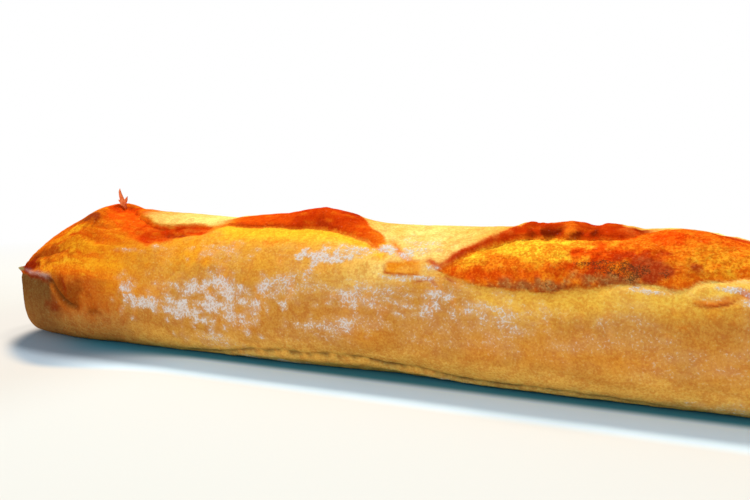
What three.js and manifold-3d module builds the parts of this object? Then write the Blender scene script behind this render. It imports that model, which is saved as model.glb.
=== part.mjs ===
// A baguette: one long loaf of bread, baked as one piece, in millimetres with +Z up.
// It lies along X on its flat baked underside, with the blunt, high end at -X.
// The crust is one closed surface: rings of points across the loaf, one ring after another
// along it. Slashes across the top lift the crust into ears and leave shallow openings.
import * as THREE from "three";
import Module from "manifold-3d";

// Driving sizes of the loaf.
const LENGTH = 585;
const WIDTH = 64;
const CROWN = 52; // height of the top between two slashes
const WAIST = 22; // height at which the loaf is widest
const NOSE = 25; // height of the outermost point of each end
const PLAN_RUN = 50; // length over which an end rounds in, seen from above
const FOOT_RUN = 16; // length over which the underside leaves the tray at an end
const FLAT_SHARE = 0.5; // share of the width that rests on the tray

// The high end, at -X: its top climbs straight to a peak, then eases down to the crown.
// Each pair is a share of PEAK_AT and a share of the rise from NOSE to CROWN.
const PEAK_AT = 53;
const HIGH_END = [
  [0.17, 0.35], [0.38, 0.63], [0.57, 0.852], [0.755, 1.037], [0.906, 1.185],
  [1, 1.207], [1.094, 1.133], [1.245, 1.111], [1.509, 1.081], [2.075, 1.026], [2.83, 1.019],
];

// The low end, at +X, rounds over. Each pair is mm from the end and a share of the same rise.
const LOW_END = [[65, 0.98], [38, 0.852], [20, 0.63], [9, 0.39], [3, 0.15]];

// Places on the crust are given as [mm along the loaf, degrees round it]:
// 0 is the middle of the top, and the angle grows towards -Y.
const MEAN_RADIUS = (WIDTH / 2 + CROWN - WAIST) / 2;
const MM_PER_DEGREE = (MEAN_RADIUS * Math.PI) / 180; // one degree measured over the crust
const RELIEF_START = 20; // the relief fades in over this length at each end
const RELIEF_LOW = 95; // no relief below this angle
const RELIEF_FADE = 25; // degrees over which it fades in above that

// The long ear near the -X end: the front edge of a flap of crust that stands up.
const LONG_EAR = {
  edge: [[112, 21], [133, 23], [157, 26], [173, 29], [183, 36], [190, 42]],
  height: 5.6,
  rise: 9,
  fall: 9,
  step: 0.8,
  skew: 1.35,
  power: 1.7,
};

// The slashes after it repeat: an ear on the far side of each opening, a crease on the near side.
const FIRST_SLASH = 207; // low end of the first one, from the -X end
const SLASH_PITCH = 84;
const SLASH_ROOM = 110; // length left past the start of the last one
const SLASH_EAR = {
  edge: [[0, 54], [10, 44], [22, 29], [30, 22], [44, 20], [60, 18], [79, 0], [90, 2], [106, 18], [116, 24]],
  height: 2.8,
  rise: 4,
  fall: 9,
  step: 1.0,
  skew: 0.75,
  power: 1,
};
const SLASH_CREASE = {
  line: [[0, 54], [18, 63], [31, 66], [43, 64], [66, 55], [77, 56], [93, 46], [116, 24]],
  depth: 1.0,
  width: 3,
};

// Between two slashes the top dips.
const DIP_AT = 103; // past the start of a slash
const DIP_DEPTH = 3.2;
const DIP_REACH = 24;

// The short furrow between the high end and the long ear.
const FURROW = {
  line: [[66, 24], [80, 34], [95, 38], [108, 30], [118, 22]],
  depth: 1.6,
  width: 4,
};

// A flake of crust that stands up on the high end, split into two prongs.
const FLAKE_AT = PEAK_AT + 3; // mm along the loaf
const FLAKE_SINK = 2.5; // how far its root goes into the crust
const PRONGS = [
  { height: 9.5, radius: 1.7, lean: -0.22, shift: -0.4 },
  { height: 7.5, radius: 1.5, lean: 0.45, shift: 0.8 },
];
const PRONG_SIDES = 7;

// Fineness of the mesh.
const RING_STEP = 5.2; // distance between rings in the middle
const FIRST_STEP = 0.6; // distance from an end to its first ring
const TOP_STEPS = 20; // strips over the top, from waist to waist
const CORNER_STEPS = 4; // strips round each lower corner
const CORNER_ANGLE = 45; // degrees given to a lower corner
const ROUND_TOP = 0.95; // power of the top's curve; 1 is an ellipse
const ROUND_CORNER = 0.85; // power of a lower corner's curve

const clamp01 = (x) => Math.min(1, Math.max(0, x));
const radians = (degrees) => (degrees * Math.PI) / 180;

function slashStarts() {
  const count = 1 + Math.floor((LENGTH - SLASH_ROOM - FIRST_SLASH) / SLASH_PITCH);
  return Array.from({ length: Math.max(count, 0) }, (_, k) => FIRST_SLASH + k * SLASH_PITCH);
}
const SLASH_STARTS = slashStarts();

// Stations of the top line, as distance from the -X end and height.
const RISE = CROWN - NOSE;
const STATIONS = [
  [0, NOSE],
  ...HIGH_END.map(([along, up]) => [along * PEAK_AT, NOSE + up * RISE]),
  ...LOW_END.map(([fromEnd, up]) => [LENGTH - fromEnd, NOSE + up * RISE]),
  [LENGTH, NOSE],
];

function slopeAt(i) {
  const before = STATIONS[Math.max(i - 1, 0)];
  const after = STATIONS[Math.min(i + 1, STATIONS.length - 1)];
  return (after[1] - before[1]) / (after[0] - before[0]);
}

function dip(s) {
  const drops = SLASH_STARTS.map((start) => Math.exp(-(((s - start - DIP_AT) / DIP_REACH) ** 2)));
  const fade = clamp01((LENGTH - s) / PLAN_RUN);
  return DIP_DEPTH * fade * drops.reduce((sum, drop) => sum + drop, 0);
}

// Height of the top at s: a smooth curve through the stations, less the dips.
function topHeight(s) {
  let i = 0;
  while (i < STATIONS.length - 2 && s > STATIONS[i + 1][0]) i += 1;
  const [s0, z0] = STATIONS[i];
  const [s1, z1] = STATIONS[i + 1];
  const run = s1 - s0;
  const t = (s - s0) / run;
  const t2 = t * t;
  const t3 = t2 * t;
  const heights = (2 * t3 - 3 * t2 + 1) * z0 + (3 * t2 - 2 * t3) * z1;
  const slopes = (t3 - 2 * t2 + t) * slopeAt(i) + (t3 - t2) * slopeAt(i + 1);
  return heights + run * slopes - dip(s);
}

// The four sizes of the ring at s: half width, top, widest height and underside.
function ringSizes(s) {
  const fromEnd = Math.min(s, LENGTH - s);
  const inPlan = 1 - clamp01(fromEnd / PLAN_RUN);
  const inFoot = 1 - clamp01(fromEnd / FOOT_RUN);
  return {
    half: (WIDTH / 2) * Math.sqrt(Math.max(1 - inPlan * inPlan, 0)),
    top: topHeight(s),
    waist: WAIST + (NOSE - WAIST) * inPlan * inPlan,
    foot: NOSE * (1 - Math.pow(1 - Math.pow(inFoot, 2.5), 0.4)),
  };
}

// The bare section, without relief: y and z at an angle.
function sectionPoint(s, angle) {
  const { half, top, waist, foot } = ringSizes(s);
  const side = -Math.sign(angle);
  const turn = Math.abs(angle);
  if (turn <= 90) {
    const across = Math.pow(Math.sin(radians(turn)), ROUND_TOP);
    const up = Math.pow(Math.abs(Math.cos(radians(turn))), ROUND_TOP);
    return [side * half * across, waist + (top - waist) * up];
  }
  const q = clamp01((turn - 90) / CORNER_ANGLE) * (Math.PI / 2);
  const flat = half * FLAT_SHARE;
  if (turn < 90 + CORNER_ANGLE) {
    const across = Math.pow(Math.max(Math.cos(q), 0), ROUND_CORNER);
    const down = Math.pow(Math.sin(q), ROUND_CORNER);
    return [side * (flat + (half - flat) * across), waist - (waist - foot) * down];
  }
  const inward = clamp01((turn - 90 - CORNER_ANGLE) / (90 - CORNER_ANGLE));
  return [side * flat * (1 - inward), foot];
}

// Distance over the crust from (s, v) to a line, the side it is on, and the share along it.
function nearLine(line, s, v) {
  const points = line.map(([a, b]) => [a, b * MM_PER_DEGREE]);
  const found = { distance: Infinity, front: false, share: 0 };
  const lengths = [0];
  for (let k = 1; k < points.length; k += 1) {
    const step = Math.hypot(points[k][0] - points[k - 1][0], points[k][1] - points[k - 1][1]);
    lengths.push(lengths[k - 1] + step);
  }
  const total = lengths[lengths.length - 1];
  for (let k = 0; k + 1 < points.length; k += 1) {
    const [ax, av] = points[k];
    const dx = points[k + 1][0] - ax;
    const dv = points[k + 1][1] - av;
    const t = clamp01(((s - ax) * dx + (v - av) * dv) / (dx * dx + dv * dv));
    const qx = s - (ax + t * dx);
    const qv = v - (av + t * dv);
    const distance = Math.hypot(qx, qv);
    if (distance < found.distance) {
      found.distance = distance;
      found.front = dx * qv - dv * qx > 0;
      found.share = (lengths[k] + t * (lengths[k + 1] - lengths[k])) / total;
    }
  }
  return found;
}

// An ear: a small step down in front of its edge, a crest behind the edge, then a fall.
function earLift(ear, start, s, v) {
  const edge = ear.edge.map(([a, b]) => [a + start, b]);
  const { distance, front, share } = nearLine(edge, s, v);
  const swell = Math.max(Math.sin(Math.PI * Math.pow(share, ear.skew)), 0);
  const taper = Math.pow(swell, ear.power);
  if (front) return -taper * ear.step * Math.exp(-((distance / 3) ** 2));
  if (distance < ear.rise) {
    return taper * ear.height * Math.sin((Math.PI / 2) * (distance / ear.rise));
  }
  return taper * ear.height * Math.exp(-(((distance - ear.rise) / ear.fall) ** 2));
}

// A crease: a shallow rounded groove along a line.
function creaseDrop(crease, start, s, v) {
  const line = crease.line.map(([a, b]) => [a + start, b]);
  const { distance, share } = nearLine(line, s, v);
  const taper = Math.pow(Math.max(Math.sin(Math.PI * share), 0), 0.6);
  return -taper * crease.depth * Math.exp(-((distance / crease.width) ** 2));
}

// How far the crust stands out from the bare section at a place.
function relief(s, angle) {
  const v = angle * MM_PER_DEGREE;
  let lift = earLift(LONG_EAR, 0, s, v) + creaseDrop(FURROW, 0, s, v);
  for (const start of SLASH_STARTS) {
    lift += earLift(SLASH_EAR, start, s, v) + creaseDrop(SLASH_CREASE, start, s, v);
  }
  const fromEnd = Math.min(s, LENGTH - s);
  return lift * clamp01(fromEnd / RELIEF_START)
    * clamp01((RELIEF_LOW - Math.abs(angle)) / RELIEF_FADE);
}

function crustPoint(s, angle) {
  const [y, z] = sectionPoint(s, angle);
  const lift = relief(s, angle);
  return [s, y - lift * Math.sin(radians(angle)), z + lift * Math.cos(radians(angle))];
}

// Distances of the rings from the -X end: close together at the ends, even in the middle.
function ringDistances() {
  const near = [];
  let s = FIRST_STEP;
  let step = FIRST_STEP;
  while (step < RING_STEP) {
    near.push(s);
    step += FIRST_STEP;
    s += step;
  }
  const first = near[near.length - 1];
  const count = Math.round((LENGTH - 2 * first) / RING_STEP);
  const middle = [];
  for (let k = 1; k < count; k += 1) middle.push(first + ((LENGTH - 2 * first) * k) / count);
  return [...near, ...middle, ...near.map((d) => LENGTH - d).reverse()];
}

// Angles of the points of a ring, from the middle of the underside round by +Y.
function ringAngles() {
  const corner = [];
  for (let k = 0; k < CORNER_STEPS; k += 1) {
    corner.push(90 + CORNER_ANGLE - (CORNER_ANGLE * k) / CORNER_STEPS);
  }
  const over = [];
  for (let k = 0; k <= TOP_STEPS; k += 1) over.push(-90 + (180 * k) / TOP_STEPS);
  return [180, ...corner.map((a) => -a), ...over, ...[...corner].reverse()];
}

// The loaf as one closed surface between two end points.
function loafGeometry() {
  const distances = ringDistances();
  const angles = ringAngles();
  const points = [[0, 0, NOSE]];
  for (const s of distances) {
    for (const angle of angles) points.push(crustPoint(s, angle));
  }
  points.push([LENGTH, 0, NOSE]);
  const last = points.length - 1;
  const n = angles.length;
  const faces = [];
  for (let j = 0; j < n; j += 1) {
    const k = (j + 1) % n;
    faces.push([0, 1 + k, 1 + j]);
    for (let i = 0; i + 1 < distances.length; i += 1) {
      const a = 1 + i * n;
      const b = a + n;
      faces.push([a + j, b + k, b + j]);
      faces.push([a + j, a + k, b + k]);
    }
    faces.push([last - n + j, last - n + k, last]);
  }
  const geometry = new THREE.BufferGeometry();
  geometry.setAttribute("position", new THREE.Float32BufferAttribute(points.flat(), 3));
  geometry.setIndex(faces.flat());
  return geometry;
}

// One prong of the flake: a slim pyramid that leans along the loaf.
function prongGeometry({ height, radius, lean, shift }) {
  const prong = new THREE.ConeGeometry(radius, height + FLAKE_SINK, PRONG_SIDES);
  prong.translate(0, (height + FLAKE_SINK) / 2 - FLAKE_SINK, 0);
  prong.rotateX(Math.PI / 2);
  prong.rotateY(lean);
  prong.translate(FLAKE_AT + shift, 0, topHeight(FLAKE_AT) - 1);
  return prong;
}

const solids = await Module();
solids.setup();

function toSolid(geometry) {
  const bare = new THREE.BufferGeometry();
  const flat = geometry.index ? geometry.toNonIndexed() : geometry;
  bare.setAttribute("position", flat.getAttribute("position"));
  const mesh = new solids.Mesh({
    numProp: 3,
    vertProperties: new Float32Array(bare.getAttribute("position").array),
    triVerts: new Uint32Array(bare.getAttribute("position").count).map((_, i) => i),
  });
  mesh.merge();
  return new solids.Manifold(mesh);
}

function toGeometry(solid) {
  const mesh = solid.getMesh();
  const geometry = new THREE.BufferGeometry();
  geometry.setAttribute("position", new THREE.Float32BufferAttribute(mesh.vertProperties, 3));
  geometry.setIndex(Array.from(mesh.triVerts));
  return geometry;
}

function wholeLoaf() {
  let solid = toSolid(loafGeometry());
  for (const prong of PRONGS) solid = solid.add(toSolid(prongGeometry(prong)));
  return toGeometry(solid);
}

// The frame: origin under the middle of the loaf, at the height of the tray.
function centred(geometry) {
  geometry.computeBoundingBox();
  const { min, max } = geometry.boundingBox;
  geometry.translate(-(min.x + max.x) / 2, -(min.y + max.y) / 2, -min.z);
  geometry.computeVertexNormals();
  return geometry;
}

const crust = new THREE.MeshStandardMaterial({ color: 0xc98a3c, roughness: 0.8 });
const baguette = new THREE.Mesh(centred(wholeLoaf()), crust);
baguette.name = "baguette";

const part = new THREE.Group();
part.add(baguette);
export default part;
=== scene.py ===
"""The looks of a baguette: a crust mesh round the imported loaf, its material, a table, lights and a camera."""

import itertools
import math

import bpy
import numpy as np
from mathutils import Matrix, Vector


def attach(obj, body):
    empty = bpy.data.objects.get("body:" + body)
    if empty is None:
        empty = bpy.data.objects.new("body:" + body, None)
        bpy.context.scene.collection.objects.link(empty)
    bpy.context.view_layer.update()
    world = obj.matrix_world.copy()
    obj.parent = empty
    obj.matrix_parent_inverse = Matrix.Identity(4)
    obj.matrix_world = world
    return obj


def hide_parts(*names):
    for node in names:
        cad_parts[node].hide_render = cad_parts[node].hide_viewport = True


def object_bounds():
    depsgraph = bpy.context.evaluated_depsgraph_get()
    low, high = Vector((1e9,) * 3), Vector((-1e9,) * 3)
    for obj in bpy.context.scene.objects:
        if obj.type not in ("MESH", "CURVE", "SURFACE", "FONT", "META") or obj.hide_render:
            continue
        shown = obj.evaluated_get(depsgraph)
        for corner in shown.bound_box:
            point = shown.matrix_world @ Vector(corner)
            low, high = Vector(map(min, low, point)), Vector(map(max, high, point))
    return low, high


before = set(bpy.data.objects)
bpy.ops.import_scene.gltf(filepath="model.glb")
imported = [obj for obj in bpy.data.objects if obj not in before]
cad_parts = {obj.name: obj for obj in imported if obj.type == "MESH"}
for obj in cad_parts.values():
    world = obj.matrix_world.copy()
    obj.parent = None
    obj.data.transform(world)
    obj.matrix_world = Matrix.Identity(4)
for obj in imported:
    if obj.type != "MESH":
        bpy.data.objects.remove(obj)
frame_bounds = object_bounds()

MM = 0.001

# ---------------------------------------------------------------- the loaf's sizes, in mm
LENGTH = round((frame_bounds[1][0] - frame_bounds[0][0]) / MM, 1)
WIDTH = round((frame_bounds[1][1] - frame_bounds[0][1]) / MM, 1)
CROWN = 52.0
WAIST = 22.0
NOSE = 25.0
PLAN_RUN = 50.0
FOOT_RUN = 16.0
FOOT_POWER = 2.5
FLAT_SHARE = 0.5
ROUND_TOP = 0.95
ROUND_CORNER = 0.85
CORNER_ANGLE = 45.0
PEAK_AT = 53.0
# Heights of the top, as shares of the rise from the nose to the crown: over shares of PEAK_AT at the
# high end, and over mm from the +X end at the low end.
HIGH_END = [(0.17, 0.35), (0.38, 0.63), (0.57, 0.852), (0.755, 1.037), (0.906, 1.185), (1, 1.207),
            (1.094, 1.133), (1.245, 1.111), (1.509, 1.081), (2.075, 1.026), (2.83, 1.019)]
LOW_END = [(65, 0.98), (38, 0.852), (20, 0.63), (9, 0.39), (3, 0.15)]
TABLE_GAP = 0.02
FIRST_SLASH = 207.0
SLASH_PITCH = 84.0
# How far each slash strays from the even pitch, in mm, and how it is turned and leant, in degrees.
STRAYS = [0.0, 10.0, 4.0, -3.0]
SLASHES = [FIRST_SLASH + SLASH_PITCH * k + stray for k, stray in enumerate(STRAYS)]
TURNS = [0.0, 5.0, -3.0, 6.0]
LEANS = [0.0, 0.0, 7.0, -6.0]
SLASH_LENGTH = 118.0
HALF_SLASH = 58.0
DIP_AT = 103.0
DIP_DEPTH = 3.2
DIP_REACH = 24.0
MM_PER_DEGREE = (WIDTH / 2 + CROWN - WAIST) / 2 * math.pi / 180

# Lines over the crust: (mm from the -X end, degrees from the middle of the top towards -Y). The lines
# of a slash, SLASH_EDGE, SLASH_CREASE and CUT_TAIL, start at its low end. LONG_HEIGHTS holds (mm from the
# -X end, height in mm of the long ear).
LONG_EDGE = [(112, 21), (123, 20.5), (133, 21), (143, 21), (157, 21.5), (165, 23.5), (173, 26.5),
             (178, 32), (183, 36), (187, 40), (190, 42)]
LONG_BACK = [(108, 15), (125, 7), (145, 0), (165, 0), (173, 8), (179, 20), (183, 24), (187, 31), (190, 42)]
LONG_TAIL = [(188, 31), (194, 40), (198, 46), (203, 52)]
LONG_HEIGHTS = [(110, 0), (118, 1.0), (128, 2.0), (140, 3.2), (150, 5.0), (157, 6.0), (168, 4.4), (175, 2.2),
                (180, 1.2), (188, 0)]
SLASH_EDGE = [(-2, 51), (3, 53.5), (10, 43.5), (16, 36), (22, 29), (30, 22.5), (44, 20), (60, 18),
              (68, 10), (77, 0), (86, -3), (95, 1), (104, 9), (111, 17), (116, 24)]
SLASH_CREASE = [(-2, 51), (4, 55.5), (11, 59.5), (18, 63.5), (31, 66), (43, 64), (55, 59), (66, 55.5),
                (77, 56.5), (83, 51), (93, 45.5), (104, 37), (116, 24)]
FIRST_EDGE = [(52, -4), (60, 4), (68, 13), (74, 20), (80, 25), (86, 28), (94, 27), (100, 24), (108, 23),
              (116, 20)]
FIRST_CREASE = [(66, 34), (76, 45), (86, 49), (95, 46), (100, 41), (108, 36), (113, 29), (118, 22)]
FOLD = [(39, 80), (41.5, 83), (43.5, 87), (45.5, 90.5), (49, 93.5), (53, 95.5), (57, 97)]
FOLD_BRANCH = [(46, 80), (47.5, 83), (49, 87), (50.5, 90)]
END_RIDGE = [(15, 71), (24, 74), (33, 76.5), (42, 79.5)]
PATCH_EDGE = [(190, 53), (192, 59), (198, 60), (204, 59)]
ARCS = [[(202, 66), (205, 64.5), (208, 63.5), (210, 66), (211.5, 68.5)], [(213, 59), (215, 61.5), (217, 63)]]
CUT_TAIL = [(-14, 60), (-10, 60), (-7, 59), (-4, 57), (-1, 54)]
FOOT_CREASE = [(100, 123), (118, 121), (140, 113), (175, 110.5), (200, 114), (225, 119), (251, 119),
               (285, 122)]


# ---------------------------------------------------------------- small helpers
def clamp01(x):
    return np.clip(x, 0.0, 1.0)


def smooth(low, high, x):
    t = clamp01((x - low) / (high - low))
    return t * t * (3 - 2 * t)


def hill(x, centre, reach):
    return np.exp(-(((x - centre) / reach) ** 2))


def gradient_table(seed):
    rng = np.random.default_rng(seed)
    directions = rng.normal(size=(256, 3))
    return directions / np.linalg.norm(directions, axis=1)[:, None], rng.permutation(256)


def noise(points, size, seed=1):
    """Gradient noise, about -1 to 1, with lumps `size` mm across. points are (..., 3) in mm."""
    directions, order = gradient_table(seed)
    q = points / size
    cell = np.floor(q).astype(int)
    part = q - cell
    ease = part ** 3 * (part * (part * 6 - 15) + 10)
    total = 0.0
    for corner in itertools.product((0, 1), repeat=3):
        step = np.array(corner)
        c = (cell + step) & 255
        h = order[(order[(order[c[..., 0]] + c[..., 1]) & 255] + c[..., 2]) & 255]
        weight = np.prod(np.where(step == 1, ease, 1 - ease), axis=-1)
        total = total + weight * np.sum(directions[h] * (part - step), axis=-1)
    return total * 1.7


def fractal(points, size, octaves, seed=1):
    """Noise with finer and weaker noise on it."""
    total = 0.0
    for k in range(octaves):
        total = total + noise(points, size / 2 ** k, seed + k) / 2 ** k
    return total


def moved(line, start, turn=0.0, lean=0.0):
    return [(s + start, angle + turn + lean * (s / HALF_SLASH - 1)) for s, angle in line]


def rounded(line, pieces=4):
    """The same line with its corners rounded, as (s, v) points in mm over the crust."""
    points = np.array(line, float) * (1.0, MM_PER_DEGREE)
    padded = np.vstack([2 * points[0] - points[1], points, 2 * points[-1] - points[-2]])
    out = []
    for k in range(len(points) - 1):
        a, b, c, d = padded[k:k + 4]
        for t in np.arange(pieces) / pieces:
            bend = 2 * a - 5 * b + 4 * c - d
            twist = 3 * b - a - 3 * c + d
            out.append(0.5 * (2 * b + (c - a) * t + bend * t * t + twist * t ** 3))
    out.append(points[-1])
    return np.array(out)


def from_line(line, s, v):
    """Signed distance from a line over the crust, above 0 on its front side, and the share along it."""
    points = rounded(line)
    steps = np.diff(points, axis=0)
    spans = np.hypot(steps[:, 0], steps[:, 1])
    before = np.concatenate([[0], np.cumsum(spans)])
    best = np.full(s.shape, 1e9)
    side = np.ones(s.shape)
    share = np.zeros(s.shape)
    for k, (dx, dv) in enumerate(steps):
        qx = s - points[k, 0]
        qv = v - points[k, 1]
        t = clamp01((qx * dx + qv * dv) / spans[k] ** 2)
        rx = qx - t * dx
        rv = qv - t * dv
        distance = np.hypot(rx, rv)
        nearer = distance < best
        best = np.where(nearer, distance, best)
        side = np.where(nearer, np.where(dx * rv - dv * rx > 0, 1.0, -1.0), side)
        share = np.where(nearer, (before[k] + t * spans[k]) / before[-1], share)
    return best * side, share


# ---------------------------------------------------------------- the bare loaf
def top_stations():
    rise = CROWN - NOSE
    high = [(along * PEAK_AT, NOSE + up * rise) for along, up in HIGH_END]
    low = [(LENGTH - end, NOSE + up * rise) for end, up in LOW_END]
    return np.array([(0, NOSE), *high, *low, (LENGTH, NOSE)], float)


def top_height(s):
    stations = top_stations()
    x, z = stations[:, 0], stations[:, 1]
    after = np.append(np.arange(1, len(x)), len(x) - 1)
    before = np.append(0, np.arange(len(x) - 1))
    slope = (z[after] - z[before]) / (x[after] - x[before])
    i = np.clip(np.searchsorted(x, s) - 1, 0, len(x) - 2)
    run = x[i + 1] - x[i]
    t = (s - x[i]) / run
    heights = (2 * t ** 3 - 3 * t ** 2 + 1) * z[i] + (3 * t ** 2 - 2 * t ** 3) * z[i + 1]
    slopes = (t ** 3 - 2 * t ** 2 + t) * slope[i] + (t ** 3 - t ** 2) * slope[i + 1]
    dips = sum(hill(s, start + DIP_AT, DIP_REACH) for start in SLASHES)
    return heights + run * slopes - DIP_DEPTH * clamp01((LENGTH - s) / PLAN_RUN) * dips


def bare_loaf(s, angle):
    """Points of the loaf without relief, in mm, with the middle of its length at x = 0."""
    from_end = np.minimum(s, LENGTH - s)
    in_plan = 1 - clamp01(from_end / PLAN_RUN)
    in_foot = 1 - clamp01(from_end / FOOT_RUN)
    half = WIDTH / 2 * np.sqrt(np.maximum(1 - in_plan ** 2, 0))
    waist = WAIST + (NOSE - WAIST) * in_plan ** 2
    foot = NOSE * (1 - (1 - in_foot ** FOOT_POWER) ** (1 / FOOT_POWER))
    turn = np.abs(angle)
    over = np.radians(np.minimum(turn, 90))
    y_top = half * np.sin(over) ** ROUND_TOP
    z_top = waist + (top_height(s) - waist) * np.abs(np.cos(over)) ** ROUND_TOP
    q = clamp01((turn - 90) / CORNER_ANGLE) * math.pi / 2
    flat = half * FLAT_SHARE
    y_low = flat + (half - flat) * np.maximum(np.cos(q), 0) ** ROUND_CORNER
    z_low = waist - (waist - foot) * np.sin(q) ** ROUND_CORNER
    inward = clamp01((turn - 90 - CORNER_ANGLE) / (90 - CORNER_ANGLE))
    y_low = np.where(turn > 90 + CORNER_ANGLE, flat * (1 - inward), y_low)
    y = -np.sign(angle) * np.where(turn <= 90, y_top, y_low)
    z = np.where(turn <= 90, z_top, z_low)
    return np.stack([s - LENGTH / 2, y, z], axis=-1)


def unit(vectors):
    return vectors / np.maximum(np.linalg.norm(vectors, axis=-1), 1e-9)[..., None]


def tangents(points):
    """Unit vectors round the loaf towards the front, and outwards."""
    along = np.gradient(points, axis=0)
    around = np.gradient(points, axis=1)
    out = np.cross(unit(around), unit(along))
    return unit(around), unit(out)


# ---------------------------------------------------------------- the grid of points
def graded(stops):
    """Numbers from one stop to the next, with the spacing given for each stretch."""
    out = [stops[0][0]]
    for (low, step), (high, _) in zip(stops, stops[1:]):
        count = max(1, round((high - low) / step))
        out.extend(low + (high - low) * (k + 1) / count for k in range(count))
    return np.array(out)


# Stops: (mm from the -X end, or degrees; the spacing from there on). Finest where the photographed
# side is torn. The last angle is the first one again.
TIP_GAP = 0.35
RING_STOPS = [(TIP_GAP, 0.5), (12, 0.75), (60, 0.87), (316, 1.5), (LENGTH - 25, 1.0), (LENGTH - 5, 0.6),
              (LENGTH - TIP_GAP, 0)]
ANGLE_STOPS = [(-180, 7.5), (-135, 4.5), (-100, 2.2), (-60, 1.6), (-10, 1.42), (125, 2.5), (150, 7.5),
               (180, 0)]
RINGS = graded(RING_STOPS)
ANGLES = graded(ANGLE_STOPS)[:-1]
S, ANGLE = np.meshgrid(RINGS, ANGLES, indexing="ij")
V = ANGLE * MM_PER_DEGREE
BARE = bare_loaf(S, ANGLE)
AROUND, OUT = tangents(BARE)
FROM_END = np.minimum(S, LENGTH - S)
ON_TOP = smooth(97, 75, np.abs(ANGLE))

# Lines over the crust waver, so that no tear is ruled.
WAVER = 1.0 * noise(BARE, 9, 11) + 0.45 * noise(BARE, 3.2, 12)
WS = S + 0.8 * noise(BARE, 7, 13)
WV = V + WAVER
LINES = fractal(np.stack([0.13 * S, V, 0 * S], axis=-1), 3.4, 3, 89)
FIBRES = fractal(np.stack([0.22 * S, V, 0 * S], axis=-1), 1.9, 3, 93)


def near(line, start=0.0, turn=0.0, lean=0.0):
    return from_line(moved(line, start, turn, lean), WS, WV)


LONG_D, _ = near(LONG_EDGE)
BACK_D, _ = near(LONG_BACK)
FIRST_D, FIRST_T = near(FIRST_EDGE)
FURROW_D, FURROW_T = near(FIRST_CREASE)
SLASH_NEAR = [(near(SLASH_EDGE, *place)[0], *near(SLASH_CREASE, *place))
              for place in zip(SLASHES, TURNS, LEANS)]


def taper(share, skew=1.0, power=1.0):
    return np.maximum(np.sin(np.pi * np.clip(share, 0, 1) ** skew), 0) ** power


def opening(k):
    """How far inside slash k a point lies: 0 outside, 1 inside."""
    edge, crease, _ = SLASH_NEAR[k]
    along = (S > SLASHES[k] - 1) & (S < SLASHES[k] + SLASH_LENGTH)
    return smooth(-0.4, 0.6, edge) * smooth(0.7, -0.5, crease) * along


# The first slash is as it was cut; the ears of the others are taller or lower, by a seeded draw.
STRENGTH = np.random.default_rng(17).uniform(-0.5, 0.5, len(SLASHES)) * (np.arange(len(SLASHES)) > 0)
OPENINGS = [opening(k) for k in range(len(SLASHES))]
OPEN = np.clip(sum(OPENINGS), 0, 1)


def ear_height(k):
    """How tall the ear of slash k stands along its edge; about 1 where it is tallest."""
    along = S - SLASHES[k]
    jag = 1 + 0.45 * noise(BARE, 5, 31 + k) + 0.2 * noise(BARE, 2.4, 36 + k)
    high = smooth(0, 26, along) * smooth(66, 58, along)
    late = 0.35 * smooth(74, 84, along) * smooth(114, 96, along)
    return (high + late) * jag * (1 + 0.5 * STRENGTH[k])


# ---------------------------------------------------------------- relief
def lip(distance, height, crest, fall, step):
    """Height across an ear: skin behind, a crest, then a drop at the torn edge."""
    behind = np.maximum(-distance - crest, 0)
    climb = step + (height - step) * np.sin(np.pi / 2 * clamp01(-distance / crest))
    rise = np.where(-distance < crest, climb, height)
    back = rise * hill(behind, 0, fall)
    front = -0.35 * step * hill(np.maximum(distance - 0.8, 0), 0, 3)
    torn = smooth(-0.5, 0.8, distance)
    return back * (1 - torn) + front * torn


def groove(distance, share, depth, width):
    return -depth * taper(share, 1, 0.6) * hill(distance, 0, width)


def long_ear():
    """Height and hang of the ear that curls over the second slash."""
    stations = np.array(LONG_HEIGHTS, float)
    height = np.interp(S, stations[:, 0], stations[:, 1])
    inside = smooth(110, 120, S) * smooth(190, 180, S)
    rise = lip(LONG_D, height, 8.0, 8.0, 0.6 * inside) * inside
    return rise, 0.4 * inside * hill(LONG_D, -0.8, 1.6)


def slash_relief(k):
    """Height and hang of slash k: its ear, its crease, the swelling in it and the cut that leads to it."""
    edge, crease, crease_t = SLASH_NEAR[k]
    along = S - SLASHES[k]
    tall = ear_height(k)
    crest = 1.6 + 4.6 * smooth(12, 34, along)
    rise = lip(edge, 2.3 * tall, crest, 7.0, 0.9 * tall)
    rise += groove(crease, crease_t, 0.9, 1.8)
    rise += OPENINGS[k] * 0.8 * smooth(0, 9, edge) * smooth(0, 9, -crease)
    rise += 1.9 * hill(along, 78, 15) * hill(ANGLE, 2, 34)
    if k > 0:
        tail, tail_t = near(CUT_TAIL, SLASHES[k], TURNS[k])
        rise += groove(tail, tail_t, 0.8, 0.6)
    return rise, 0.9 * tall * hill(edge, -1.0, 1.8)


def furrow_relief():
    """Height and hang of the short furrow next to the high end."""
    tall = taper(FIRST_T, 0.8, 0.8) * (1 + 0.3 * noise(BARE, 4, 41))
    rise = lip(FIRST_D, 1.3 * tall, 2.0, 6.0, 1.2 * tall)
    rise += groove(FURROW_D + 3, FURROW_T, 1.4, 3.4)
    return rise, 0.8 * tall * hill(FIRST_D, -0.8, 1.5)


def relief():
    """Height of the crust over the bare loaf, in mm, and how far each torn edge hangs forward."""
    cuts = [long_ear(), *(slash_relief(k) for k in range(len(SLASHES))), furrow_relief()]
    rise = sum(cut[0] for cut in cuts)
    hang = sum(cut[1] for cut in cuts)
    return rise * ON_TOP, hang * ON_TOP


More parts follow.
